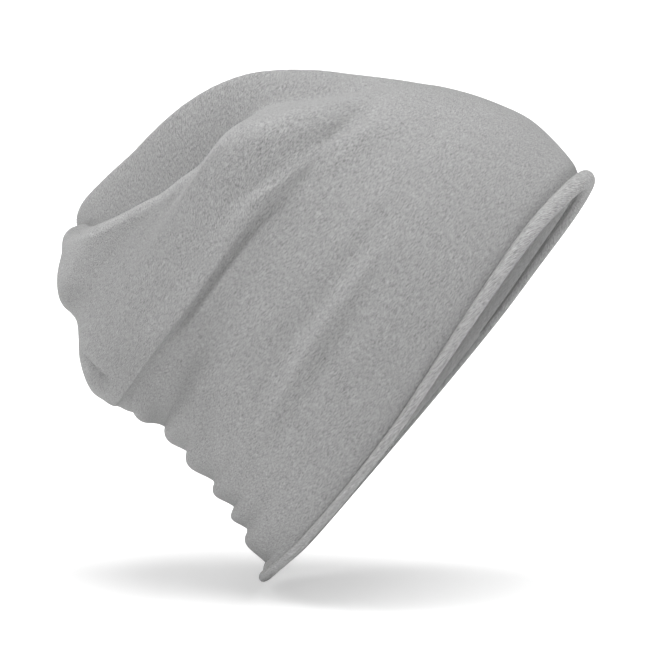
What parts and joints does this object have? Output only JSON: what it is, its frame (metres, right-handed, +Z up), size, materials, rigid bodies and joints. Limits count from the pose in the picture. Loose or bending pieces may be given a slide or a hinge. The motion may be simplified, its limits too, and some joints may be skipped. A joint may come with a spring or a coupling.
{
  "type": "jersey beanie",
  "caption": "Slouch beanie in thin grey melange jersey, with a rolled raw edge, gathered nape and folded crown, in its worn form.",
  "frame": {"origin": "middle of the head opening, on the line from the forehead edge to the nape edge, where a head holds the cap", "axes": "+X forward, from the slouched end towards the forehead; +Y to the wearer's left; +Z up. The cap is worn tilted, its opening 50.6 degrees up from level at the forehead"},
  "size_m": [0.2195, 0.1598, 0.2098],
  "materials": {
    "jersey_face": "soft matt melange single jersey, knit side out",
    "jersey_reverse": "soft matt melange single jersey, purl side out, rolled raw edge"
  },
  "bodies": {
    "root": {"crown": "jersey_face", "rolled_rim": "jersey_reverse"}
  },
  "joints": []
}
